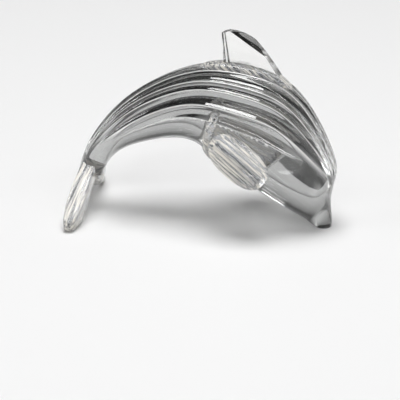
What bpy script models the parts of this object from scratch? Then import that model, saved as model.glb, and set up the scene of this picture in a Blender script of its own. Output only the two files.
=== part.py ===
"""A leaping dolphin of clear crystal, cast in one piece and cut with flutes and facets.

Metres, +Z up. The dolphin swims towards +X and is the same on both sides of Y = 0.
It stands on the tips of its two flukes and on the end of its beak, on the plane Z = 0.
The origin lies on that plane, under the middle of the figure's box.
"""

import math

import bmesh
import bpy
import numpy as np
from mathutils import Vector

MM = 0.001  # every size below is in millimetres, and MM turns it into metres

# Body
STOCK_DEPTH = 15.0  # tail stock, from back to belly, where the flukes grow out of it
STOCK_WIDTH = 15.0
CHEST_DEPTH = 67.0
CHEST_WIDTH = 47.0
BEAK_LENGTH = 10.6  # the flat end of the beak, along X
BEAK_WIDTH = 9.6
STOCK_X = -66.5
STOCK_HEIGHT = 24.0
STOCK_ROUNDING = 4.0  # how far the stock's end bulges down between the flukes
STOCK_END_SHARE = 0.6  # and how much narrower it is there
ARCH_HEIGHT = 73.2  # middle of the body above the ground, at the top of the arch
BEAK_X = 74.6

# Body stations from tail to beak: centre x, centre z, direction from belly to back in degrees
# from +X, depth and width
STATIONS = (
    (STOCK_X, STOCK_HEIGHT, 178, STOCK_DEPTH, STOCK_WIDTH),
    (-62.6, 34.2, 155, 16.0, 16.0),
    (-54.4, 46.0, 138, 19.6, 18.0),
    (-41.0, 57.6, 121, 27.6, 24.0),
    (-21.0, 68.6, 101, 37.8, 31.0),
    (0.0, ARCH_HEIGHT, 85, 48.6, 38.0),
    (22.0, 67.3, 73, 61.8, 45.0),
    (40.4, 57.8, 68, CHEST_DEPTH, CHEST_WIDTH),
    (56.4, 42.8, 64, 59.2, 42.0),
    (67.4, 29.8, 62, 47.6, 33.0),
    (72.8, 18.6, 57, 34.0, 22.0),
    (72.4, 10.2, 48, 20.6, 14.4),
    (73.5, 4.6, 27, 14.2, 11.2),
    (BEAK_X, 0.0, 0, BEAK_LENGTH, BEAK_WIDTH),
)

# Flutes: long hollows between ridges that run along each flank. A ridge's place is its angle
# round the section, 0 at mid-flank and 90 on the crest: near the tail, at mid-body, at the head.
FLUTE_HOLLOW = 0.24  # depth of a hollow for its width
FLUTE_LEAN = 1.5  # how much steeper a hollow's lower wall is than its upper one
FLUTE_TAPER = 0.12  # share of the body over which a flute opens out from its pointed end
RIDGE_ANGLES = (
    (90, 90, 90),
    (60, 71, 75),
    (47, 50, 59),
    (32, 37, 50),
    (6, 15, 36),
    (-16, -5, 20),
)
RIDGE_STATIONS = (0.13, 0.45, 0.85)
FLUTE_ENDS = ((0.05, 0.95), (0.05, 0.94), (0.06, 0.90), (0.09, 0.91), (0.13, 0.79))

# Dorsal fin: its outline in x and z from the root point on the crest, tail edge and head edge.
# A facet is ground through two points of its crease, on the fin's side, and one on its edge.
DORSAL_STATION = 0.50
DORSAL_TAIL_EDGE = ((-14.0, -6.0), (-10.2, 1.2), (-6.9, 4.4), (-5.2, 9.0), (-5.3, 13.6), (-6.9, 20.0))
DORSAL_HEAD_EDGE = ((-1.9, 22.2), (4.7, 21.8), (13.6, 17.8), (19.4, 9.8), (25.4, 0.8), (33.0, -12.0))
DORSAL_ROOT_THICKNESS = 8.0
DORSAL_TIP_THICKNESS = 4.0
DORSAL_EDGE_THICKNESS = 1.2
DORSAL_HEAD_FACET = ((-0.1, 21.8), (21.4, 7.7), (14.6, 16.8))
DORSAL_TAIL_FACET = ((-3.9, 18.5), (-2.4, 8.0), (-5.1, 11.0))

# Saddle: a low mound along the crest, out of which the dorsal fin rises
SADDLE_STATIONS = (0.425, 0.665)
SADDLE_WIDTH = 11.0
SADDLE_HEIGHT = 2.2  # above the crest
SADDLE_DEPTH = 4.4  # and below it
SADDLE_END_SHARE = 0.04  # how much of its section, squared, is left at its ends

# Pectoral fins: thick oval paddles that droop from the flank and end in a bevelled face
PECTORAL_STATION = 0.61
PECTORAL_ANGLE = -32  # round the section, as for the ridges
PECTORAL_REACH = 11.0  # from the flank to the face
PECTORAL_LENGTH = 40.0
PECTORAL_WIDTH = 22.0
PECTORAL_BEVEL = 3.6
PECTORAL_FACING = (0.10, -0.90, 0.42)
PECTORAL_SWEEP = (0.80, -0.17, -0.58)
# Its rings from the face back: how far back, up and towards the tail, and how much wider
PECTORAL_RINGS = (
    (0.0, 0.0, 0.0, -PECTORAL_BEVEL),
    (1.6, 0.0, 0.0, 0.0),
    (5.0, 0.5, 0.5, -0.3),
    (9.0, 2.5, 2.0, -0.8),
    (13.0, 4.5, 3.0, -1.0),
    (19.0, 6.0, 3.5, -2.0),
)

# Web: a bead from a pectoral fin's tail end up the flank, here the near one's in x, y and z
WEB_PATH = (
    (12.8, -17.5, 72.5),
    (10.5, -21.0, 66.8),
    (8.5, -21.2, 60.5),
    (8.5, -22.4, 55.5),
    (12.8, -26.0, 51.5),
)
WEB_RADIUS = 2.6

# Flukes: thick lobes from the stock out to their tips
FLUKE_SPAN = 81.0
FLUKE_THICKNESS = 11.0
FLUKE_CHORD = 17.0
FLUKE_ROOT_RISE = 6.0  # how far up inside the stock a lobe starts
FLUKE_ROOT_OVERLAP = 2.0  # and how far past the middle
FLUKE_BEND_HEIGHT = 13.4
FLUKE_TIP_HEIGHT = 1.4
FLUKE_SWEEP = 5.2  # how far behind the stock's end a tip lies
FLUKE_ROOT_SHARE = 0.75  # a lobe's thickness at its root for its full one
FLUKE_TIP_ROUNDING = 0.85  # how much its tip rounds off, over the last third
FLUKE_FACET = 3.4  # how deep the leaf facet is ground into the outer edge

OVAL_POWER = 2.5  # 2 is an ellipse

# Mesh density
BODY_RINGS = 56
FLUTE_STEPS = 5
BELLY_STEPS = 8
LOBE_SIDES = 24
FLUKE_RINGS = 16
BEAD_RINGS = 11
DORSAL_TAIL_POINTS = 10
DORSAL_HEAD_POINTS = 20
WELD = 0.15  # points closer than this are one


def spline(knots, rows, at):
    """Natural cubic spline through rows of values at the given knots."""
    knots = np.asarray(knots, float)
    rows = np.asarray(rows, float)
    at = np.atleast_1d(np.asarray(at, float))
    count = len(knots)
    gaps = np.diff(knots)
    system = np.eye(count)
    right = np.zeros_like(rows)
    for i in range(1, count - 1):
        system[i, i - 1 : i + 2] = gaps[i - 1], 2 * (gaps[i - 1] + gaps[i]), gaps[i]
        right[i] = 6 * ((rows[i + 1] - rows[i]) / gaps[i] - (rows[i] - rows[i - 1]) / gaps[i - 1])
    bend = np.linalg.solve(system, right)
    cell = np.clip(np.searchsorted(knots, at, side="right") - 1, 0, count - 2)
    gap = gaps[cell][:, None]
    before = (knots[cell + 1] - at)[:, None]
    after = (at - knots[cell])[:, None]
    cubic = (bend[cell] * before**3 + bend[cell + 1] * after**3) / (6 * gap)
    start = (rows[cell] / gap - bend[cell] * gap / 6) * before
    end = (rows[cell + 1] / gap - bend[cell + 1] * gap / 6) * after
    return cubic + start + end


def run_lengths(points):
    """Distance along a polyline, from 0 to 1."""
    steps = np.linalg.norm(np.diff(np.asarray(points, float), axis=0), axis=1)
    along = np.concatenate(([0.0], np.cumsum(steps)))
    return along / along[-1]


def curve(points, count):
    """Evenly spread points on a smooth curve through the given ones."""
    return spline(run_lengths(points), points, np.linspace(0, 1, count))


STATION_KNOTS = run_lengths([row[:2] for row in STATIONS])


def section(station):
    """Centre, unit vector from belly to back, half depth and half width at a station."""
    x, z, lean, depth, width = spline(STATION_KNOTS, STATIONS, station)[0]
    lean = math.radians(lean)
    return Vector((x, 0, z)), Vector((math.cos(lean), 0, math.sin(lean))), depth / 2, width / 2


def skin_point(station, angle, sink=0.0):
    """A point on the near flank (Y below 0), sunk below the smooth skin by a distance."""
    centre, up, half_depth, half_width = section(station)
    rise = math.sin(angle)
    side = math.cos(angle)
    point = centre + up * (half_depth * rise) + Vector((0, -half_width * side, 0))
    outward = up * (rise / half_depth) + Vector((0, -side / half_width, 0))
    return point - outward.normalized() * sink


def opened(station, ends):
    """How wide a flute is for its full width: it opens out from a point at either end."""
    first, last = ends
    share = min((station - first) / FLUTE_TAPER, (last - station) / FLUTE_TAPER, 1.0)
    share = max(share, 0.0)
    return share * (2 - share)


def half_ring(station):
    """Points of the near half of a section, from the crest down to the belly."""
    ridges = np.radians(spline(RIDGE_STATIONS, np.transpose(RIDGE_ANGLES), station)[0])
    _, _, half_depth, half_width = section(station)
    points = [skin_point(station, ridges[0])]
    for top, bottom, ends in zip(ridges, ridges[1:], FLUTE_ENDS):
        middle = (top + bottom) / 2
        radius = math.hypot(half_depth * math.cos(middle), half_width * math.sin(middle))
        turn = (top - bottom) * opened(station, ends)
        hollow = radius * turn * FLUTE_HOLLOW
        for step in range(FLUTE_STEPS + 1):
            share = step / FLUTE_STEPS
            depth = share * (1 - share) * (4 - FLUTE_LEAN + 2 * FLUTE_LEAN * share)
            points.append(skin_point(station, middle + turn * (0.5 - share), hollow * depth))
    for step in range(BELLY_STEPS + 1):
        angle = ridges[-1] + (-math.pi / 2 - ridges[-1]) * step / BELLY_STEPS
        points.append(skin_point(station, angle))
    return points


def mirrored(point):
    return Vector((point.x, -point.y, point.z))


def skinned(rings):
    """A closed mesh through rings of points, with a flat cap at each end."""
    mesh = bmesh.new()
    loops = [[mesh.verts.new(point) for point in ring] for ring in rings]
    for loop, following in zip(loops, loops[1:]):
        for i in range(len(loop)):
            j = (i + 1) % len(loop)
            mesh.faces.new((loop[i], loop[j], following[j], following[i]))
    mesh.faces.new(loops[0])
    mesh.faces.new(loops[-1])
    bmesh.ops.recalc_face_normals(mesh, faces=mesh.faces)
    return mesh


def body():
    """The fluted body, from the rounded end of the tail stock to the flat end of the beak."""
    rings = []
    for station in np.linspace(0, 1, BODY_RINGS):
        near = half_ring(station)
        rings.append(near + [mirrored(point) for point in near[-2:0:-1]])
    centre = Vector((STOCK_X, 0, STOCK_HEIGHT - STOCK_ROUNDING))
    end = [centre + (point - centre) * STOCK_END_SHARE for point in rings[0]]
    for point in end:
        point.z = centre.z
    mesh = skinned([end, *rings])
    bmesh.ops.remove_doubles(mesh, verts=mesh.verts, dist=WELD)
    return mesh


def cut(mesh, point, outward):
    """Grinds a flat on a closed mesh: what lies past the plane goes."""
    everything = mesh.verts[:] + mesh.edges[:] + mesh.faces[:]
    sliced = bmesh.ops.bisect_plane(
        mesh, geom=everything, plane_co=point, plane_no=outward, clear_outer=True
    )
    rim = [item for item in sliced["geom_cut"] if isinstance(item, bmesh.types.BMEdge)]
    if rim:
        bmesh.ops.contextual_create(mesh, geom=rim)


def crest(station):
    return skin_point(station, math.pi / 2)


def dorsal_fin():
    """The back fin: a slab with the fin's outline, ground to a wedge and to two facets a side."""
    root = crest(DORSAL_STATION)
    outline = [*curve(DORSAL_TAIL_EDGE, DORSAL_TAIL_POINTS), *curve(DORSAL_HEAD_EDGE, DORSAL_HEAD_POINTS)]
    height = max(z for _, z in outline)
    root_half = DORSAL_ROOT_THICKNESS / 2
    tip_half = DORSAL_TIP_THICKNESS / 2
    mesh = bmesh.new()
    face = mesh.faces.new([mesh.verts.new(root + Vector((x, -root_half, z))) for x, z in outline])
    grown = bmesh.ops.extrude_face_region(mesh, geom=[face])["geom"]
    for item in grown:
        if isinstance(item, bmesh.types.BMVert):
            item.co.y += 2 * root_half
    bmesh.ops.recalc_face_normals(mesh, faces=mesh.faces)
    for side in (-1, 1):
        cut(mesh, root + Vector((0, side * root_half, 0)), Vector((0, side * height, root_half - tip_half)))
        for crease_start, crease_end, edge in (DORSAL_HEAD_FACET, DORSAL_TAIL_FACET):
            points = []
            for x, z in (crease_start, crease_end):
                half = root_half + (tip_half - root_half) * z / height
                points.append(root + Vector((x, side * half, z)))
            points.append(root + Vector((edge[0], side * DORSAL_EDGE_THICKNESS / 2, edge[1])))
            normal = (points[1] - points[0]).cross(points[2] - points[0])
            cut(mesh, points[0], normal if normal.y * side > 0 else -normal)
    return mesh


def oval(centre, along, across, half_along, half_across):
    """Points of an oval round a centre, a little squarer than an ellipse."""
    points = []
    for i in range(LOBE_SIDES):
        turn = 2 * math.pi * i / LOBE_SIDES
        c, s = math.cos(turn), math.sin(turn)
        u = math.copysign(abs(c) ** (2 / OVAL_POWER), c) * half_along
        v = math.copysign(abs(s) ** (2 / OVAL_POWER), s) * half_across
        points.append(centre + along * u + across * v)
    return points


def pectoral_fin():
    """The near side fin, from its face back into the flank."""
    normal = Vector(PECTORAL_FACING).normalized()
    sweep = Vector(PECTORAL_SWEEP)
    sweep = (sweep - normal * sweep.dot(normal)).normalized()
    up = sweep.cross(normal).normalized()
    up = up if up.z > 0 else -up
    face = skin_point(PECTORAL_STATION, math.radians(PECTORAL_ANGLE)) + normal * PECTORAL_REACH
    half_length = PECTORAL_LENGTH / 2
    half_width = PECTORAL_WIDTH / 2
    rings = []
    for back, lift, trail, grow in PECTORAL_RINGS:
        middle = face - normal * back + up * lift - sweep * trail
        rings.append(oval(middle, sweep, up, half_length + grow, half_width + grow))
    return skinned(rings)


def bead(middles, halves):
    """A rod of oval section through middle points, with its half sizes across and up there."""
    rings = []
    for i, middle in enumerate(middles):
        ahead = (middles[min(i + 1, len(middles) - 1)] - middles[max(i - 1, 0)]).normalized()
        across = ahead.cross(Vector((0, 0, 1))).normalized()
        rings.append(oval(middle, across, across.cross(ahead), *halves[i]))
    return skinned(rings)


def web():
    """The near pectoral fin's web: a round bead up the flank."""
    middles = [Vector(point) for point in curve(WEB_PATH, BEAD_RINGS)]
    return bead(middles, [(WEB_RADIUS, WEB_RADIUS)] * BEAD_RINGS)


def saddle():
    """The mound under the dorsal fin, which tapers out at both ends."""
    first, last = SADDLE_STATIONS
    middles = []
    halves = []
    for step in range(BEAD_RINGS):
        share = step / (BEAD_RINGS - 1)
        swell = math.sqrt(max(1 - (2 * share - 1) ** 4, SADDLE_END_SHARE))
        station = first + (last - first) * share
        middles.append(crest(station) - section(station)[1] * (SADDLE_DEPTH - SADDLE_HEIGHT) / 2)
        halves.append((SADDLE_WIDTH / 2 * swell, (SADDLE_HEIGHT + SADDLE_DEPTH) / 2 * swell))
    return bead(middles, halves)


def fluke():
    """The near fluke, with a long leaf facet ground along its outer edge."""
    half_span = FLUKE_SPAN / 2
    path = (
        (STOCK_X + FLUKE_SWEEP * 0.3, FLUKE_ROOT_OVERLAP, STOCK_HEIGHT + FLUKE_ROOT_RISE),
        (STOCK_X - FLUKE_SWEEP * 0.23, -0.2 * half_span, STOCK_HEIGHT - FLUKE_ROOT_RISE / 6),
        (STOCK_X - FLUKE_SWEEP * 0.58, -0.55 * half_span, FLUKE_BEND_HEIGHT),
        (STOCK_X - FLUKE_SWEEP, -half_span, FLUKE_TIP_HEIGHT),
    )
    rings = []
    middles = [Vector(point) for point in curve(path, FLUKE_RINGS)]
    for i, middle in enumerate(middles):
        share = i / (FLUKE_RINGS - 1)
        ahead = middles[min(i + 1, FLUKE_RINGS - 1)] - middles[max(i - 1, 0)]
        across = Vector((0, -ahead.z, ahead.y)).normalized()
        end = math.sqrt(1 - FLUKE_TIP_ROUNDING * max(3 * share - 2, 0) ** 2)
        start = FLUKE_ROOT_SHARE + (1 - FLUKE_ROOT_SHARE) * min(share * 2, 1)
        rings.append(
            oval(middle, Vector((1, 0, 0)), across, FLUKE_THICKNESS / 2 * end * start, FLUKE_CHORD / 2 * end)
        )
    mesh = skinned(rings)
    middle = middles[FLUKE_RINGS // 2]
    ahead = middles[-FLUKE_RINGS // 4] - middles[FLUKE_RINGS // 4]
    outer = Vector((0, ahead.z, -ahead.y)).normalized()
    outer = outer if outer.z > 0 else -outer
    cut(mesh, middle + outer * (FLUKE_CHORD / 2 - FLUKE_FACET), outer)
    cut(mesh, Vector((0, 0, 0)), Vector((0, 0, -1)))
    return mesh


def crystal():
    """Clear colourless glass."""
    material = bpy.data.materials.new("crystal")
    material.use_nodes = True
    shader = material.node_tree.nodes["Principled BSDF"]
    shader.inputs["Base Color"].default_value = (0.93, 0.95, 0.95, 1)
    shader.inputs["Metallic"].default_value = 0.0
    shader.inputs["Roughness"].default_value = 0.02
    shader.inputs["IOR"].default_value = 1.54
    shader.inputs["Transmission Weight"].default_value = 1.0
    return material


def added(name, mesh, shift):
    """Puts a mesh, moved and turned into metres, into the scene as an object."""
    for vert in mesh.verts:
        vert.co = (vert.co + shift) * MM
    data = bpy.data.meshes.new(name)
    mesh.to_mesh(data)
    mesh.free()
    data.shade_smooth()
    data.set_sharp_from_angle(angle=math.radians(20))
    item = bpy.data.objects.new(name, data)
    bpy.context.collection.objects.link(item)
    return item


def flipped(mesh):
    """A copy of a near side shape for the far side."""
    copy = mesh.copy()
    for vert in copy.verts:
        vert.co.y *= -1
    bmesh.ops.reverse_faces(copy, faces=copy.faces)
    return copy


def main():
    for item in list(bpy.data.objects):
        bpy.data.objects.remove(item, do_unlink=True)
    trunk = body()
    pectoral = pectoral_fin()
    tail = fluke()
    rod = web()
    parts = {
        "saddle": saddle(),
        "dorsal_fin": dorsal_fin(),
        "near_pectoral_fin": pectoral,
        "far_pectoral_fin": flipped(pectoral),
        "near_web": rod,
        "far_web": flipped(rod),
        "near_fluke": tail,
        "far_fluke": flipped(tail),
    }
    reach = [vert.co.x for mesh in (trunk, *parts.values()) for vert in mesh.verts]
    shift = Vector((-(min(reach) + max(reach)) / 2, 0, 0))
    dolphin = added("dolphin", trunk, shift)
    dolphin.data.materials.append(crystal())
    for name, mesh in parts.items():
        limb = added(name, mesh, shift)
        limb.hide_render = True
        limb.display_type = "WIRE"
        union = dolphin.modifiers.new(name, "BOOLEAN")
        union.operation = "UNION"
        union.solver = "EXACT"
        union.object = limb


main()
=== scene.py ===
"""The crystal dolphin's looks: a fine, smooth skin with cut flutes and facets, in a pale studio."""

import math

import bmesh
import bpy
import numpy as np
from mathutils import Matrix, Vector

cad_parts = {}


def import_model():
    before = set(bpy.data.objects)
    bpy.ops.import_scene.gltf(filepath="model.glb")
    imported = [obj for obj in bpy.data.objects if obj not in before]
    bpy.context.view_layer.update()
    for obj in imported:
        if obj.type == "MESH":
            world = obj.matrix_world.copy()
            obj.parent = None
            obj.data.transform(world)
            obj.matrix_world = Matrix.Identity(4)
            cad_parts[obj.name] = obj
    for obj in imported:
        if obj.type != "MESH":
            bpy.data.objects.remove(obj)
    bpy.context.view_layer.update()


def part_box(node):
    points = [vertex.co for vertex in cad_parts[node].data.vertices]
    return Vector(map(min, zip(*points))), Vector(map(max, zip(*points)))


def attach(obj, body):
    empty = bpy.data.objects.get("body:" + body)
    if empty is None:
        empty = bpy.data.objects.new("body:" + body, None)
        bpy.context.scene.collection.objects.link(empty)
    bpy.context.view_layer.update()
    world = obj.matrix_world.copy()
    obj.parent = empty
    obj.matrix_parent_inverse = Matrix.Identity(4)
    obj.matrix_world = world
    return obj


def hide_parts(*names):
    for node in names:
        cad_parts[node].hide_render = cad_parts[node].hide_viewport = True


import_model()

NODE_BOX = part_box("dolphin")
MM = 0.001  # the figure's own sizes are in millimetres

# Body stations from tail to beak: centre x, centre z, direction from belly to back in degrees
# from +X, depth and width
STATIONS = (
    (-66.5, 24.0, 178, 15.0, 15.0),
    (-62.6, 34.2, 155, 16.0, 16.0),
    (-54.4, 46.0, 138, 19.6, 18.0),
    (-41.0, 57.6, 121, 27.6, 24.0),
    (-21.0, 68.6, 101, 37.8, 31.0),
    (0.0, 73.2, 85, 48.6, 38.0),
    (22.0, 67.3, 73, 61.8, 45.0),
    (40.4, 57.8, 68, 67.0, 47.0),
    (56.4, 42.8, 64, 59.2, 42.0),
    (67.4, 29.8, 62, 47.6, 33.0),
    (72.8, 18.6, 57, 34.0, 22.0),
    (72.4, 10.2, 48, 20.6, 14.4),
    (73.5, 4.6, 27, 14.2, 11.2),
    (74.6, 0.0, 0, 10.6, 9.6),
)
STOCK_ROUNDING = 4.0  # how far the stock's end bulges down between the flukes
STOCK_END_SHARE = 0.6  # its size at the very end for its full one

# Flutes between ridges; a ridge's angle is 0 at mid-flank and 90 on the crest
FLUTE_HOLLOW = 0.24  # depth of a hollow for its width
FLUTE_TAPER = 0.12  # share of the body over which a flute opens out from its pointed end
FLUTE_LEAN = 1.5  # how much steeper a hollow's lower wall is than its upper one
RIDGE_ROUNDING = 0.10  # the share of a flute's width that rounds off at each ridge
RIDGE_HIGHLIGHT = 0.08  # the share of a flute's width that a ridge's painted highlight, a pale line, takes on either side
RIDGE_ANGLES = (
    (90, 90, 90),
    (60, 71, 75),
    (47, 50, 59),
    (32, 37, 50),
    (6, 15, 36),
    (-16, -5, 20),
)
RIDGE_STATIONS = (0.13, 0.45, 0.85)  # the shares of the body's length at which these angles lie

# Where each flute starts and ends, in shares of the body's length
FLUTE_ENDS = ((0.05, 0.95), (0.05, 0.94), (0.06, 0.90), (0.09, 0.91), (0.13, 0.79))

# Dorsal fin, from its root point on the crest
DORSAL_STATION = 0.50
DORSAL_TAIL_EDGE = ((-14.0, -6.0), (-10.2, 1.2), (-6.9, 4.4), (-5.2, 9.0), (-5.3, 13.6), (-6.9, 20.0))
DORSAL_HEAD_EDGE = ((-1.9, 22.2), (4.7, 21.8), (13.6, 17.8), (19.4, 9.8), (25.4, 0.8), (33.0, -12.0))
DORSAL_ROOT_THICKNESS = 8.0
DORSAL_TIP_THICKNESS = 4.0
DORSAL_EDGE_THICKNESS = 1.2

# Its facets: the crease's two ends, and a point of the thin edge that the facet runs out to
DORSAL_HEAD_FACET = ((-0.1, 21.8), (21.4, 7.7), (14.6, 16.8))
DORSAL_TAIL_FACET = ((-3.9, 18.5), (-2.4, 8.0), (-5.1, 11.0))

# Saddle: a low mound along the crest, out of which the dorsal fin rises
SADDLE_STATIONS = (0.425, 0.665)
SADDLE_WIDTH = 11.0
SADDLE_HEIGHT = 2.2  # above the crest
SADDLE_DEPTH = 4.4  # and below it
SADDLE_END_SHARE = 0.04  # how much of its section's area is left at its ends
SADDLE_POWER = 4  # how bluntly it tapers; 2 would be an ellipse

# Pectoral fins: each ring is a distance behind the fin's face, with its lift, its shift to the
# tail and what it is larger by
PECTORAL_STATION = 0.61  # share of the body's length
PECTORAL_ANGLE = -32
PECTORAL_REACH = 11.0  # how far the face stands out from the flank
PECTORAL_LENGTH = 40.0
PECTORAL_WIDTH = 22.0
PECTORAL_BEVEL = 3.6
PECTORAL_FACING = (0.10, -0.90, 0.42)  # the way its face looks
PECTORAL_SWEEP = (0.80, -0.17, -0.58)  # and the way it points
PECTORAL_RINGS = (
    (0.0, 0.0, 0.0, -PECTORAL_BEVEL),
    (1.6, 0.0, 0.0, 0.0),
    (5.0, 0.5, 0.5, -0.3),
    (9.0, 2.5, 2.0, -0.8),
    (13.0, 4.5, 3.0, -1.0),
    (19.0, 6.0, 3.5, -2.0),
)

# Web from a pectoral fin's tail end up the flank
WEB_PATH = (
    (12.8, -17.5, 72.5),
    (10.5, -21.0, 66.8),
    (8.5, -21.2, 60.5),
    (8.5, -22.4, 55.5),
    (12.8, -26.0, 51.5),
)
WEB_RADIUS = 2.6

# Flukes: the middle of a lobe runs through its root, its shoulder, its bend and its tip
FLUKE_SPAN = 81.0
FLUKE_THICKNESS = 11.0
FLUKE_CHORD = 17.0
FLUKE_ROOT_RISE = 6.0  # how far up inside the stock a lobe starts
FLUKE_ROOT_OVERLAP = 2.0  # and how far past the middle
FLUKE_SHOULDER_DROP = 1.0  # below the stock's end
FLUKE_SHOULDER_SHARE = 0.2  # of the half span
FLUKE_BEND_SHARE = 0.55
FLUKE_BEND_HEIGHT = 13.4
FLUKE_TIP_HEIGHT = 1.4
FLUKE_SWEEP = 5.2  # how far behind the stock's end a tip lies
FLUKE_ROOT_SWEEP = -0.3  # shares of the sweep
FLUKE_SHOULDER_SWEEP = 0.23
FLUKE_BEND_SWEEP = 0.58
FLUKE_ROOT_SHARE = 0.75  # a lobe's thickness at its root for its full one, reached halfway
FLUKE_TIP_ROUNDING = 0.85  # how much its tip rounds off, over the last third
FLUKE_FACET = 3.4

OVAL_POWER = 2.5  # 2 would be an ellipse

# Mesh density
BODY_RINGS = 240
STOCK_RINGS = 8
FLUTE_STEPS = 18
BELLY_STEPS = 24
DORSAL_TAIL_STEPS = 40
DORSAL_HEAD_STEPS = 90
LOBE_SIDES = 96
FLUKE_RINGS = 60
BEAD_RINGS = 40
WELD = 0.02  # points closer than this are one
SHARP_EDGE = math.radians(24)

# Places across a flute, closer together at its ridges
FLUTE_SHARES = [(1 - math.cos(math.pi * step / FLUTE_STEPS)) / 2 for step in range(FLUTE_STEPS + 1)]

# Finish, with its lengths in metres
GLASS_IOR = 1.54
BODY_TINT = (0.53, 0.535, 0.53, 1)
# The limbs' tint, which also colours the painted highlights along the ridges
LIMB_AND_RIDGE_HIGHLIGHT_TINT = (1.0, 1.0, 0.99, 1)
SMOKE = 2.0  # absorption per metre
POLISH = 1.0  # the body's fire polish, which strengthens its reflections
RIDGE_HIGHLIGHT_CLEARNESS = 0.12  # what passes through a ridge's painted highlight, a pale line along it
COOL_STREAK = (0.54, 0.57, 0.62, 1)
WARM_STREAK = (0.94, 0.90, 0.82, 1)
STREAK_CLEARNESS = 0.3  # what passes through the milkiest streaks
STREAK_ROUGHNESS = 0.12
STREAK_LENGTH = 0.028
STREAK_WIDTH = 0.0012
STREAK_DEPTH = 0.00025
STREAK_DETAIL = 3.0
STREAK_DISTORTION = 0.4
FLUKE_STREAKS = (-0.15, -0.85, -0.5)  # the way they run along the near fluke
TINT_RANGE = (0.4, 0.6)  # the noise between which a streak's tint changes
MILKY_RANGE = (0.35, 0.65)  # its clearness
ROUGH_RANGE = (0.3, 0.7)  # and its roughness
SWAY_SCALE = 60.0  # the slight unevenness of the cast skin
SWAY_DETAIL = 1.0
SWAY_DEPTH = 0.00001

# Camera and stage, in metres; an azimuth of 0 is behind the figure, and one of 90 ahead of its beak
AIM = Vector((-0.0033, 0, 0.0095))
CAMERA_AZIMUTH = 168.4
CAMERA_ELEVATION = 24.9
CAMERA_DISTANCE = 2.0
SENSOR_WIDTH = 36  # in millimetres
FIELD_WIDTH = 0.2395  # what the picture is wide at the figure
CLIP_START = 0.05
CLIP_END = 50
FLOOR_SIZE = 12
FLOOR_COLOUR = (0.86, 0.86, 0.86, 1)
STAGE_ROUGHNESS = 0.6
# The dark plate is painted shade: a black sheet on the floor behind the figure that only the crystal
# shows, as black bands
PAINTED_SHADE_COLOUR = (0.01, 0.01, 0.01, 1)
PLATE_LENGTH = 0.085  # along X
PLATE_DEPTH = 0.135  # and along Y
PLATE_PLACE = (-0.0175, 0.1125, 0.0006)
PLATE_SOLID_X = 0.75  # share of it that is dark all through, from the tail end
PLATE_SOLID_Y = 0.93  # and from the near edge
HORIZON_STRENGTH = 0.88
CEILING_STRENGTH = 0.05
CEILING_RISE = 0.5  # sine of the elevation where the ceiling starts
LAMP_AIM = Vector((0, 0, 0.05))

# Soft boxes: name, width, height, azimuth, elevation, distance and watts
LAMPS = (
    ("front_box", 2.8, 0.14, 147, 50, 2.0, 9.0),
    ("left_box", 0.3, 0.8, -110, 15, 2.0, 7.0),
    ("top_box", 0.9, 0.9, 0, 89, 1.6, 23.0),
)


# Shapes
def spline(knots, rows, at):
    """Natural cubic spline through rows of values at the given knots."""
    knots = np.asarray(knots, float)
    rows = np.asarray(rows, float)
    at = np.atleast_1d(np.asarray(at, float))
    count = len(knots)
    gaps = np.diff(knots)
    system = np.eye(count)
    right = np.zeros_like(rows)
    for i in range(1, count - 1):
        system[i, i - 1 : i + 2] = gaps[i - 1], 2 * (gaps[i - 1] + gaps[i]), gaps[i]
        right[i] = 6 * ((rows[i + 1] - rows[i]) / gaps[i] - (rows[i] - rows[i - 1]) / gaps[i - 1])
    bend = np.linalg.solve(system, right)
    cell = np.clip(np.searchsorted(knots, at, side="right") - 1, 0, count - 2)
    gap = gaps[cell][:, None]
    before = (knots[cell + 1] - at)[:, None]
    after = (at - knots[cell])[:, None]
    cubic = (bend[cell] * before**3 + bend[cell + 1] * after**3) / (6 * gap)
    start = (rows[cell] / gap - bend[cell] * gap / 6) * before
    end = (rows[cell + 1] / gap - bend[cell + 1] * gap / 6) * after
    return cubic + start + end


def run_lengths(points):
    """Distance along a polyline, from 0 to 1."""
    steps = np.linalg.norm(np.diff(np.asarray(points, float), axis=0), axis=1)
    along = np.concatenate(([0.0], np.cumsum(steps)))
    return along / along[-1]


def curve(points, count):
    """Evenly spread points on a smooth curve through the given ones."""
    return spline(run_lengths(points), points, np.linspace(0, 1, count))


STATION_KNOTS = run_lengths([row[:2] for row in STATIONS])


def section(station):
    """Centre, unit vector from belly to back, half depth and half width at a station."""
    x, z, lean, depth, width = spline(STATION_KNOTS, STATIONS, station)[0]
    lean = math.radians(lean)
    return Vector((x, 0, z)), Vector((math.cos(lean), 0, math.sin(lean))), depth / 2, width / 2


def skin_point(cut_through, angle, sink=0.0):
    """A point on the near flank (Y below 0) of a section, sunk below the smooth skin."""
    centre, up, half_depth, half_width = cut_through
    rise = math.sin(angle)
    side = math.cos(angle)
    point = centre + up * (half_depth * rise) + Vector((0, -half_width * side, 0))
    outward = up * (rise / half_depth) + Vector((0, -side / half_width, 0))
    return point - outward.normalized() * sink


def opened(station, ends):
    """How wide a flute is for its full width: it grows from a point at either end."""
    first, last = ends
    share = min((station - first) / FLUTE_TAPER, (last - station) / FLUTE_TAPER, 1.0)
    share = max(share, 0.0)
    return share * (2 - share)


def hollow_share(share):
    """A flute's depth across its width, from its upper ridge to its lower one, rounded at both."""
    def depth(at):
        return at * (1 - at) * (4 - FLUTE_LEAN + 2 * FLUTE_LEAN * at)

    reach = RIDGE_ROUNDING
    rise = depth(reach) / 2
    fall = depth(1 - reach) / 2
    if share < reach:
        return rise * (share / reach) ** 2
    if share > 1 - reach:
        return fall * ((1 - share) / reach) ** 2
    return depth(share) - rise + (rise - fall) * (share - reach) / (1 - 2 * reach)


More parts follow.
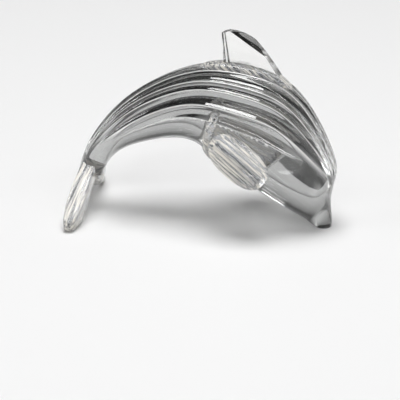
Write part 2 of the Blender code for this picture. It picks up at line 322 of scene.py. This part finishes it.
def half_ring(station):
    """Points of the near half of a section, from the crest down to the belly."""
    ridges = np.radians(spline(RIDGE_STATIONS, np.transpose(RIDGE_ANGLES), station)[0])
    here = section(station)
    _, _, half_depth, half_width = here
    points = [skin_point(here, ridges[0])]
    for top, bottom, ends in zip(ridges, ridges[1:], FLUTE_ENDS):
        middle = (top + bottom) / 2
        radius = math.hypot(half_depth * math.cos(middle), half_width * math.sin(middle))
        width = opened(station, ends)
        hollow = radius * (top - bottom) * width * FLUTE_HOLLOW
        for share in FLUTE_SHARES:
            angle = middle + (top - bottom) * width * (0.5 - share)
            points.append(skin_point(here, angle, hollow * hollow_share(share)))
    for step in range(BELLY_STEPS + 1):
        angle = ridges[-1] + (-math.pi / 2 - ridges[-1]) * step / BELLY_STEPS
        points.append(skin_point(here, angle))
    return points


def ridge_highlights(station):
    """How much of a ridge's painted highlight, a pale line, lies on each point of a half ring."""
    highlights = [0.0]
    for ends in FLUTE_ENDS:
        width = opened(station, ends)
        highlights += [width * max(1 - min(share, 1 - share) / RIDGE_HIGHLIGHT, 0) for share in FLUTE_SHARES]
    return highlights + [0.0] * (BELLY_STEPS + 1)


def skinned(rings):
    """A closed mesh through rings of points, with a flat cap at each end."""
    mesh = bmesh.new()
    loops = [[mesh.verts.new(point) for point in ring] for ring in rings]
    for loop, following in zip(loops, loops[1:]):
        for i in range(len(loop)):
            j = (i + 1) % len(loop)
            mesh.faces.new((loop[i], loop[j], following[j], following[i]))
    mesh.faces.new(loops[0])
    mesh.faces.new(loops[-1])
    bmesh.ops.recalc_face_normals(mesh, faces=mesh.faces)
    return mesh


def body():
    """The fluted body, from the rounded end of the tail stock to the flat end of the beak."""
    rings = []
    highlights = []
    for station in np.linspace(0, 1, BODY_RINGS):
        near = half_ring(station)
        rings.append(near + [Vector((p.x, -p.y, p.z)) for p in near[-2:0:-1]])
        near_highlights = ridge_highlights(station)
        highlights += near_highlights + near_highlights[-2:0:-1]
    centre = section(0.0)[0]
    bulge = []
    for step in range(1, STOCK_RINGS + 1):
        turn = math.pi / 2 * step / STOCK_RINGS
        share = STOCK_END_SHARE + (1 - STOCK_END_SHARE) * math.cos(turn)
        drop = STOCK_ROUNDING * math.sin(turn)
        bulge.append([centre + (p - centre) * share - Vector((0, 0, drop)) for p in rings[0]])
    mesh = skinned(bulge[::-1] + rings)
    # Each point keeps its share of a ridge's painted highlight, a pale line
    ridge_highlight = mesh.verts.layers.float.new("ridge_highlight")
    mesh.verts.ensure_lookup_table()
    for vert, highlight in zip(mesh.verts[-len(highlights):], highlights):
        vert[ridge_highlight] = highlight
    bmesh.ops.remove_doubles(mesh, verts=mesh.verts, dist=WELD)
    return mesh


def cut(mesh, point, outward):
    """Grinds a flat on a closed mesh: what lies past the plane goes."""
    everything = mesh.verts[:] + mesh.edges[:] + mesh.faces[:]
    sliced = bmesh.ops.bisect_plane(
        mesh, geom=everything, plane_co=point, plane_no=outward, clear_outer=True
    )
    rim = [item for item in sliced["geom_cut"] if isinstance(item, bmesh.types.BMEdge)]
    if rim:
        bmesh.ops.contextual_create(mesh, geom=rim)


def dorsal_fin():
    """The back fin: a slab with the fin's outline, ground to a wedge and to two facets a side."""
    root = skin_point(section(DORSAL_STATION), math.pi / 2)
    outline = [*curve(DORSAL_TAIL_EDGE, DORSAL_TAIL_STEPS), *curve(DORSAL_HEAD_EDGE, DORSAL_HEAD_STEPS)]
    height = max(z for _, z in outline)
    root_half = DORSAL_ROOT_THICKNESS / 2
    tip_half = DORSAL_TIP_THICKNESS / 2
    mesh = bmesh.new()
    face = mesh.faces.new([mesh.verts.new(root + Vector((x, -root_half, z))) for x, z in outline])
    grown = bmesh.ops.extrude_face_region(mesh, geom=[face])["geom"]
    for item in grown:
        if isinstance(item, bmesh.types.BMVert):
            item.co.y += 2 * root_half
    bmesh.ops.recalc_face_normals(mesh, faces=mesh.faces)
    for side in (-1, 1):
        slant = Vector((0, side * height, root_half - tip_half))
        cut(mesh, root + Vector((0, side * root_half, 0)), slant)
        for crease_start, crease_end, edge in (DORSAL_HEAD_FACET, DORSAL_TAIL_FACET):
            points = []
            for x, z in (crease_start, crease_end):
                half = root_half + (tip_half - root_half) * z / height
                points.append(root + Vector((x, side * half, z)))
            points.append(root + Vector((edge[0], side * DORSAL_EDGE_THICKNESS / 2, edge[1])))
            normal = (points[1] - points[0]).cross(points[2] - points[0])
            cut(mesh, points[0], normal if normal.y * side > 0 else -normal)
    return mesh


def oval(centre, along, across, half_along, half_across):
    """Points of an oval round a centre, a little squarer than an ellipse."""
    points = []
    for i in range(LOBE_SIDES):
        turn = 2 * math.pi * i / LOBE_SIDES
        c, s = math.cos(turn), math.sin(turn)
        u = math.copysign(abs(c) ** (2 / OVAL_POWER), c) * half_along
        v = math.copysign(abs(s) ** (2 / OVAL_POWER), s) * half_across
        points.append(centre + along * u + across * v)
    return points


def pectoral_fin():
    """The near side fin, from its face back into the flank."""
    normal = Vector(PECTORAL_FACING).normalized()
    sweep = Vector(PECTORAL_SWEEP)
    sweep = (sweep - normal * sweep.dot(normal)).normalized()
    up = sweep.cross(normal).normalized()
    up = up if up.z > 0 else -up
    face = skin_point(section(PECTORAL_STATION), math.radians(PECTORAL_ANGLE)) + normal * PECTORAL_REACH
    half_length = PECTORAL_LENGTH / 2
    half_width = PECTORAL_WIDTH / 2
    rings = []
    for back, lift, trail, grow in PECTORAL_RINGS:
        middle = face - normal * back + up * lift - sweep * trail
        rings.append(oval(middle, sweep, up, half_length + grow, half_width + grow))
    return skinned(rings)


def bead(middles, halves):
    """A rod of oval section through middle points, with its half sizes across and up there."""
    rings = []
    for i, middle in enumerate(middles):
        ahead = (middles[min(i + 1, len(middles) - 1)] - middles[max(i - 1, 0)]).normalized()
        across = ahead.cross(Vector((0, 0, 1))).normalized()
        rings.append(oval(middle, across, across.cross(ahead), *halves[i]))
    return skinned(rings)


def web():
    """The near pectoral fin's web: a round bead up the flank."""
    middles = [Vector(point) for point in curve(WEB_PATH, BEAD_RINGS)]
    return bead(middles, [(WEB_RADIUS, WEB_RADIUS)] * BEAD_RINGS)


def saddle():
    """The mound under the dorsal fin, which tapers out at both ends."""
    first, last = SADDLE_STATIONS
    middles = []
    halves = []
    for step in range(BEAD_RINGS):
        share = step / (BEAD_RINGS - 1)
        swell = math.sqrt(max(1 - (2 * share - 1) ** SADDLE_POWER, SADDLE_END_SHARE))
        here = section(first + (last - first) * share)
        middles.append(skin_point(here, math.pi / 2) - here[1] * (SADDLE_DEPTH - SADDLE_HEIGHT) / 2)
        halves.append((SADDLE_WIDTH / 2 * swell, (SADDLE_HEIGHT + SADDLE_DEPTH) / 2 * swell))
    return bead(middles, halves)


def fluke():
    """The near fluke, with a long leaf facet ground along its outer edge."""
    half_span = FLUKE_SPAN / 2
    stock_x, stock_height = STATIONS[0][:2]
    stops = (
        (FLUKE_ROOT_SWEEP, FLUKE_ROOT_OVERLAP, stock_height + FLUKE_ROOT_RISE),
        (FLUKE_SHOULDER_SWEEP, -FLUKE_SHOULDER_SHARE * half_span, stock_height - FLUKE_SHOULDER_DROP),
        (FLUKE_BEND_SWEEP, -FLUKE_BEND_SHARE * half_span, FLUKE_BEND_HEIGHT),
        (1, -half_span, FLUKE_TIP_HEIGHT),
    )
    path = [(stock_x - FLUKE_SWEEP * share, y, z) for share, y, z in stops]
    middles = [Vector(point) for point in curve(path, FLUKE_RINGS)]
    rings = []
    for i, middle in enumerate(middles):
        share = i / (FLUKE_RINGS - 1)
        ahead = middles[min(i + 1, FLUKE_RINGS - 1)] - middles[max(i - 1, 0)]
        across = Vector((0, -ahead.z, ahead.y)).normalized()
        end = math.sqrt(1 - FLUKE_TIP_ROUNDING * max(3 * share - 2, 0) ** 2)
        start = FLUKE_ROOT_SHARE + (1 - FLUKE_ROOT_SHARE) * min(share * 2, 1)
        half_thickness = FLUKE_THICKNESS / 2 * end * start
        rings.append(oval(middle, Vector((1, 0, 0)), across, half_thickness, FLUKE_CHORD / 2 * end))
    mesh = skinned(rings)
    middle = middles[FLUKE_RINGS // 2]
    ahead = middles[-FLUKE_RINGS // 4] - middles[FLUKE_RINGS // 4]
    outer = Vector((0, ahead.z, -ahead.y)).normalized()
    outer = outer if outer.z > 0 else -outer
    cut(mesh, middle + outer * (FLUKE_CHORD / 2 - FLUKE_FACET), outer)
    cut(mesh, Vector((0, 0, 0)), Vector((0, 0, -1)))
    return mesh


def flipped(mesh):
    """A copy of a near side shape for the far side."""
    copy = mesh.copy()
    for vert in copy.verts:
        vert.co.y *= -1
    bmesh.ops.reverse_faces(copy, faces=copy.faces)
    return copy


def added(name, mesh, shift):
    """An object of a shape, moved to its place and turned into metres."""
    for vert in mesh.verts:
        vert.co = (vert.co + shift) * MM
    data = bpy.data.meshes.new(name)
    mesh.to_mesh(data)
    mesh.free()
    item = bpy.data.objects.new(name, data)
    bpy.context.collection.objects.link(item)
    return item


# Materials
def feed(tree, slot, value):
    """Gives an input a constant, or links another node's output to it."""
    if isinstance(value, bpy.types.NodeSocket):
        tree.links.new(value, slot)
    else:
        slot.default_value = value


def attribute(tree, name):
    """The value of one of the mesh's attributes."""
    node = tree.nodes.new("ShaderNodeAttribute")
    node.attribute_name = name
    return node.outputs["Fac"]


def coordinates(tree, kind):
    """X, Y and Z of a kind of texture coordinates."""
    place = tree.nodes.new("ShaderNodeTexCoord")
    apart = tree.nodes.new("ShaderNodeSeparateXYZ")
    tree.links.new(place.outputs[kind], apart.inputs["Vector"])
    return [apart.outputs[axis] for axis in "XYZ"]


def maths(tree, operation, first, second):
    """What a sum, product or the like of two values gives."""
    node = tree.nodes.new("ShaderNodeMath")
    node.operation = operation
    feed(tree, node.inputs[0], first)
    feed(tree, node.inputs[1], second)
    return node.outputs["Value"]


def mixed(tree, kind, share, first, second):
    """A mix of two numbers, vectors or colours."""
    node = tree.nodes.new("ShaderNodeMix")
    node.data_type = kind
    feed(tree, node.inputs["Factor"], share)
    feed(tree, node.inputs["A"], first)
    feed(tree, node.inputs["B"], second)
    return node.outputs["Result"]


def ranged(tree, value, low, high, start, end):
    """A value between low and high, spread over start to end."""
    node = tree.nodes.new("ShaderNodeMapRange")
    node.inputs["From Min"].default_value = low
    node.inputs["From Max"].default_value = high
    node.inputs["To Min"].default_value = start
    node.inputs["To Max"].default_value = end
    tree.links.new(value, node.inputs["Value"])
    return node.outputs["Result"]


def bumped(tree, height, depth, strength):
    """A bump node for a height field of that depth."""
    node = tree.nodes.new("ShaderNodeBump")
    node.inputs["Distance"].default_value = depth
    feed(tree, node.inputs["Strength"], strength)
    tree.links.new(height, node.inputs["Height"])
    return node


def lengthwise(tree, place, direction):
    """Coordinates in which noise is drawn out into long streaks along a direction."""
    ahead = Vector(direction).normalized()
    aside = ahead.cross(Vector((0, 1, 0))).normalized()
    axes = Matrix((ahead, aside, ahead.cross(aside))).transposed()
    node = tree.nodes.new("ShaderNodeMapping")
    node.vector_type = "TEXTURE"
    node.inputs["Rotation"].default_value = axes.to_euler()
    node.inputs["Scale"].default_value = (STREAK_LENGTH, STREAK_WIDTH, STREAK_WIDTH)
    tree.links.new(place, node.inputs["Vector"])
    return node.outputs["Vector"]


def streaks(tree):
    """Streaky noise, the same on both sides, that runs along the flukes and along the pectoral fins."""
    x, y, z = coordinates(tree, "Object")
    near_side = tree.nodes.new("ShaderNodeCombineXYZ")
    tree.links.new(x, near_side.inputs["X"])
    tree.links.new(maths(tree, "MINIMUM", y, maths(tree, "MULTIPLY", y, -1.0)), near_side.inputs["Y"])
    tree.links.new(z, near_side.inputs["Z"])
    along_flukes = lengthwise(tree, near_side.outputs["Vector"], FLUKE_STREAKS)
    along_fins = lengthwise(tree, near_side.outputs["Vector"], PECTORAL_SWEEP)
    ahead_of_flukes = maths(tree, "GREATER_THAN", x, STATIONS[1][0] * MM)
    noise = tree.nodes.new("ShaderNodeTexNoise")
    noise.inputs["Scale"].default_value = 1.0
    noise.inputs["Detail"].default_value = STREAK_DETAIL
    noise.inputs["Distortion"].default_value = STREAK_DISTORTION
    place = mixed(tree, "VECTOR", ahead_of_flukes, along_flukes, along_fins)
    tree.links.new(place, noise.inputs["Vector"])
    return noise.outputs["Fac"]


def material_of(name):
    """A new material, with its node tree and its Principled shader."""
    material = bpy.data.materials.new(name)
    material.use_nodes = True
    return material, material.node_tree, material.node_tree.nodes["Principled BSDF"]


def crystal():
    """Lead crystal: a polished, slightly smoky body and clear limbs, streaked but for the dorsal fin,
    with a painted highlight, a pale line, along each ridge.
    """
    material, tree, shader = material_of("crystal")
    limbs = attribute(tree, "limb")
    streaked = attribute(tree, "streaked")
    ridge_highlight = attribute(tree, "ridge_highlight")
    streak = streaks(tree)

    warmth = ranged(tree, streak, *TINT_RANGE, 0.0, 1.0)
    streak_tint = mixed(tree, "RGBA", warmth, COOL_STREAK, WARM_STREAK)
    limb_and_highlight_tint = mixed(tree, "RGBA", streaked, LIMB_AND_RIDGE_HIGHLIGHT_TINT, streak_tint)
    # Along the ridges, the limbs' pale tint and little clearness paint a highlight as a pale line
    tint = mixed(tree, "RGBA", maths(tree, "MAXIMUM", limbs, ridge_highlight), BODY_TINT, limb_and_highlight_tint)
    milky = ranged(tree, streak, *MILKY_RANGE, 1.0, STREAK_CLEARNESS)
    through = mixed(tree, "FLOAT", streaked, 1.0, milky)
    through_painted_highlight = ranged(tree, ridge_highlight, 0.0, 1.0, 1.0, RIDGE_HIGHLIGHT_CLEARNESS)
    rough = ranged(tree, streak, *ROUGH_RANGE, 0.0, STREAK_ROUGHNESS)

    sway = tree.nodes.new("ShaderNodeTexNoise")
    sway.inputs["Scale"].default_value = SWAY_SCALE
    sway.inputs["Detail"].default_value = SWAY_DETAIL
    cast = bumped(tree, sway.outputs["Fac"], SWAY_DEPTH, 1.0)
    ground = bumped(tree, streak, STREAK_DEPTH, streaked)
    tree.links.new(cast.outputs["Normal"], ground.inputs["Normal"])

    finish = {
        "IOR": GLASS_IOR,
        "Base Color": tint,
        "Transmission Weight": maths(tree, "MULTIPLY", through, through_painted_highlight),
        "Roughness": mixed(tree, "FLOAT", streaked, 0.0, rough),
        "Coat Weight": ranged(tree, limbs, 0.0, 1.0, POLISH, 0.0),
        "Coat Roughness": 0.0,
        "Normal": ground.outputs["Normal"],
    }
    for name, value in finish.items():
        feed(tree, shader.inputs[name], value)

    smoke = tree.nodes.new("ShaderNodeVolumeAbsorption")
    smoke.inputs["Color"].default_value = (0.0, 0.0, 0.0, 1)
    smoke.inputs["Density"].default_value = SMOKE
    tree.links.new(smoke.outputs["Volume"], tree.nodes["Material Output"].inputs["Volume"])
    return material


def marked(mesh, title, names):
    """Adds a face attribute that is one on the faces of the named forms."""
    chosen = {index for index, material in enumerate(mesh.materials) if material.name in names}
    marks = mesh.attributes.new(title, "FLOAT", "FACE")
    marks.data.foreach_set("value", [float(face.material_index in chosen) for face in mesh.polygons])


def united(piece, names):
    """Joins the named limbs to the body; each face keeps a material named after its form."""
    for name in names:
        union = piece.modifiers.new(name, "BOOLEAN")
        union.operation = "UNION"
        union.solver = "EXACT"
        union.material_mode = "TRANSFER"
        union.object = bpy.data.objects[name]
    graph = bpy.context.evaluated_depsgraph_get()
    merged = bpy.data.meshes.new_from_object(piece.evaluated_get(graph))
    piece.modifiers.clear()
    piece.data = merged
    for name in names:
        bpy.data.objects.remove(bpy.data.objects[name], do_unlink=True)
    return merged


def dolphin():
    """The whole figure as one closed skin."""
    trunk = body()
    pectoral = pectoral_fin()
    tail = fluke()
    rod = web()
    limbs = {
        "saddle": saddle(),
        "dorsal": dorsal_fin(),
        "near_pectoral": pectoral,
        "far_pectoral": flipped(pectoral),
        "near_web": rod,
        "far_web": flipped(rod),
        "near_fluke": tail,
        "far_fluke": flipped(tail),
    }
    reach = [vert.co.x for mesh in (trunk, *limbs.values()) for vert in mesh.verts]
    centre = (NODE_BOX[0][0] + NODE_BOX[1][0]) / 2 / MM
    shift = Vector((centre - (min(reach) + max(reach)) / 2, 0, 0))
    piece = added("dolphin_crystal", trunk, shift)
    piece.data.materials.append(bpy.data.materials.new("trunk"))
    for name, mesh in limbs.items():
        added(name, mesh, shift).data.materials.append(bpy.data.materials.new(name))
    merged = united(piece, limbs)
    marked(merged, "limb", limbs)
    marked(merged, "streaked", [name for name in limbs if name != "dorsal"])
    merged.materials.clear()
    merged.polygons.foreach_set("material_index", [0] * len(merged.polygons))
    merged.materials.append(crystal())
    merged.shade_smooth()
    merged.set_sharp_from_angle(angle=SHARP_EDGE)
    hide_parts("dolphin")
    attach(piece, "root")


# Stage, light and camera
def around(azimuth, elevation, distance):
    """A place round the figure: azimuth 0 is behind it (+Y), 90 is ahead of its beak (+X)."""
    a, e = math.radians(azimuth), math.radians(elevation)
    flat = distance * math.cos(e)
    return Vector((flat * math.sin(a), flat * math.cos(a), distance * math.sin(e)))


def placed(name, data, place, aim):
    """An object that looks from its place at an aim."""
    item = bpy.data.objects.new(name, data)
    item.location = place
    item.rotation_euler = (aim - place).to_track_quat("-Z", "Y").to_euler()
    bpy.context.collection.objects.link(item)
    return item


def floor():
    """A wide pale floor."""
    material, _, shader = material_of("pale_floor")
    shader.inputs["Base Color"].default_value = FLOOR_COLOUR
    shader.inputs["Roughness"].default_value = STAGE_ROUGHNESS
    bpy.ops.mesh.primitive_plane_add(size=FLOOR_SIZE)
    plane = bpy.context.object
    plane.name = "floor"
    plane.data.materials.append(material)


def painted_shade_plate():
    """A dark plate behind the figure, which only the crystal shows: painted shade, seen in it as black
    bands; it fades out at two edges.
    """
    material, tree, shader = material_of("painted_shade_black")
    x, y, _ = coordinates(tree, "Generated")
    fade_x = ranged(tree, x, PLATE_SOLID_X, 1.0, 1.0, 0.0)
    fade_y = ranged(tree, y, PLATE_SOLID_Y, 1.0, 1.0, 0.0)
    shader.inputs["Base Color"].default_value = PAINTED_SHADE_COLOUR
    shader.inputs["Roughness"].default_value = STAGE_ROUGHNESS
    shader.inputs["Specular IOR Level"].default_value = 0.0
    feed(tree, shader.inputs["Alpha"], maths(tree, "MULTIPLY", fade_x, fade_y))
    bpy.ops.mesh.primitive_plane_add(size=1)
    plane = bpy.context.object
    plane.name = "dark_plate"
    plane.scale = (PLATE_LENGTH, PLATE_DEPTH, 1)
    plane.location = PLATE_PLACE
    plane.data.materials.append(material)
    # Camera, diffuse light and shadows don't see this painted shade; only the crystal refracts and
    # reflects it
    plane.visible_camera = False
    plane.visible_diffuse = False
    plane.visible_shadow = False


def lamps():
    """The soft boxes, all turned to the figure."""
    for name, width, height, azimuth, elevation, distance, watts in LAMPS:
        data = bpy.data.lights.new(name, "AREA")
        data.shape = "RECTANGLE"
        data.size = width
        data.size_y = height
        data.energy = watts
        placed(name, data, around(azimuth, elevation, distance), LAMP_AIM)


def camera():
    """The camera, at the photograph's angle."""
    data = bpy.data.cameras.new("camera")
    data.sensor_width = SENSOR_WIDTH
    data.lens = SENSOR_WIDTH * CAMERA_DISTANCE / FIELD_WIDTH
    data.clip_start = CLIP_START
    data.clip_end = CLIP_END
    place = AIM + around(CAMERA_AZIMUTH, CAMERA_ELEVATION, CAMERA_DISTANCE)
    bpy.context.scene.camera = placed("camera", data, place, AIM)


def world():
    """A pale backdrop all round, which fades into a dark ceiling."""
    sky = bpy.data.worlds.new("studio")
    sky.use_nodes = True
    tree = sky.node_tree
    background = tree.nodes["Background"]
    _, _, height = coordinates(tree, "Generated")
    strength = ranged(tree, height, 0.0, CEILING_RISE, HORIZON_STRENGTH, CEILING_STRENGTH)
    background.inputs["Color"].default_value = (1, 1, 1, 1)
    feed(tree, background.inputs["Strength"], strength)
    bpy.context.scene.world = sky


camera()
dolphin()
floor()
world()
lamps()
painted_shade_plate()
bpy.context.scene.view_settings.view_transform = "Standard"
